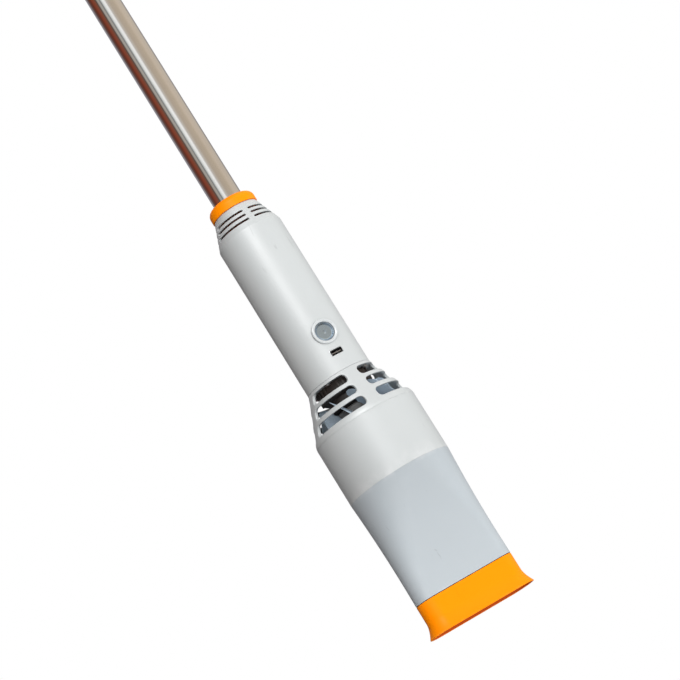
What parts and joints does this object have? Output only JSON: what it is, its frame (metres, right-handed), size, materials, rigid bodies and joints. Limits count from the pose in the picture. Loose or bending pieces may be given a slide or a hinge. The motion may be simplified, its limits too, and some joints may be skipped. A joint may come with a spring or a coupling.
{
  "type": "leaf blower",
  "caption": "Cordless pole leaf blower: in-line axial fan behind intake windows, duct to a flat flared nozzle, battery body with push button, steel pole with grip.",
  "frame": {"origin": "centre of the flat nozzle mouth, in the plane of its rim", "axes": "+Z along the common axis from the mouth up the pole, -Y the way the power button faces, +X along the long side of the mouth"},
  "size_m": [0.1224, 0.112, 1.128],
  "materials": {
    "steel_tube": "polished",
    "grip_rubber": "matte",
    "dark_plastic": "matte",
    "orange_shell": "satin",
    "screw_steel": "satin",
    "white_shell": "satin",
    "bezel_shell": "satin",
    "button_steel": "polished",
    "spring_steel": "satin",
    "brass_post": "satin",
    "port_steel": "satin",
    "port_plastic": "satin",
    "board_green": "satin",
    "chip_black": "matte",
    "cell_can": "satin",
    "nickel_strip": "satin",
    "wire_red": "satin",
    "wire_black": "satin",
    "motor_plastic": "matte",
    "alu_cast": "satin",
    "stator_steel": "satin",
    "copper_wire": "satin",
    "bearing_steel": "polished",
    "magnet_grey": "matte",
    "fan_plastic": "satin",
    "duct_shell": "satin"
  },
  "bodies": {
    "blower": {"pole_tube": "steel_tube", "pole_grip": "grip_rubber", "pole_end_cap": "dark_plastic", "pole_collar": "orange_shell", "clamp_sleeve": "orange_shell", "sleeve_screws": "screw_steel", "pole_screws": "screw_steel", "battery_housing": "white_shell", "button_bezel": "bezel_shell", "button_spring": "spring_steel", "switch_body": "dark_plastic", "switch_terminals": "brass_post", "switch_nut": "dark_plastic", "usb_shell": "port_steel", "usb_tongue": "port_plastic", "control_board": "board_green", "board_components": "chip_black", "board_standoffs": "brass_post", "board_screws": "screw_steel", "battery_cells": "cell_can", "cell_holder_lower": "dark_plastic", "cell_holder_upper": "dark_plastic", "cell_strips": "nickel_strip", "protection_board": "board_green", "battery_leads": "wire_red", "motor_leads": "wire_black", "switch_leads": "wire_red", "intake_cone": "white_shell", "housing_screws": "screw_steel", "motor_shroud": "motor_plastic", "motor_screws": "screw_steel", "motor_end_cap": "alu_cast", "motor_stator": "stator_steel", "motor_windings": "copper_wire", "motor_bearings": "bearing_steel", "fan_casing": "white_shell", "flow_straightener": "fan_plastic", "tail_cone": "fan_plastic", "transition_duct": "duct_shell", "nozzle": "orange_shell"},
    "fan_rotor": {"motor_shaft": "bearing_steel", "rotor_magnet": "magnet_grey", "impeller": "fan_plastic", "impeller_nut": "screw_steel"},
    "button": {"button_cap": "button_steel"}
  },
  "joints": [
    {"name": "fan_spin", "type": "hinge", "parent": "blower", "child": "fan_rotor", "pos_m": [0, 0, 0.229], "axis": [0, 0, 1], "continuous": true},
    {"name": "button_press", "type": "slide", "parent": "blower", "child": "button", "axis": [0, 1, 0], "range_m": [0, 0.0015], "stiffness_N_per_m": 1200, "springref_m": -0.0008, "deforming": ["button_spring"]}
  ]
}
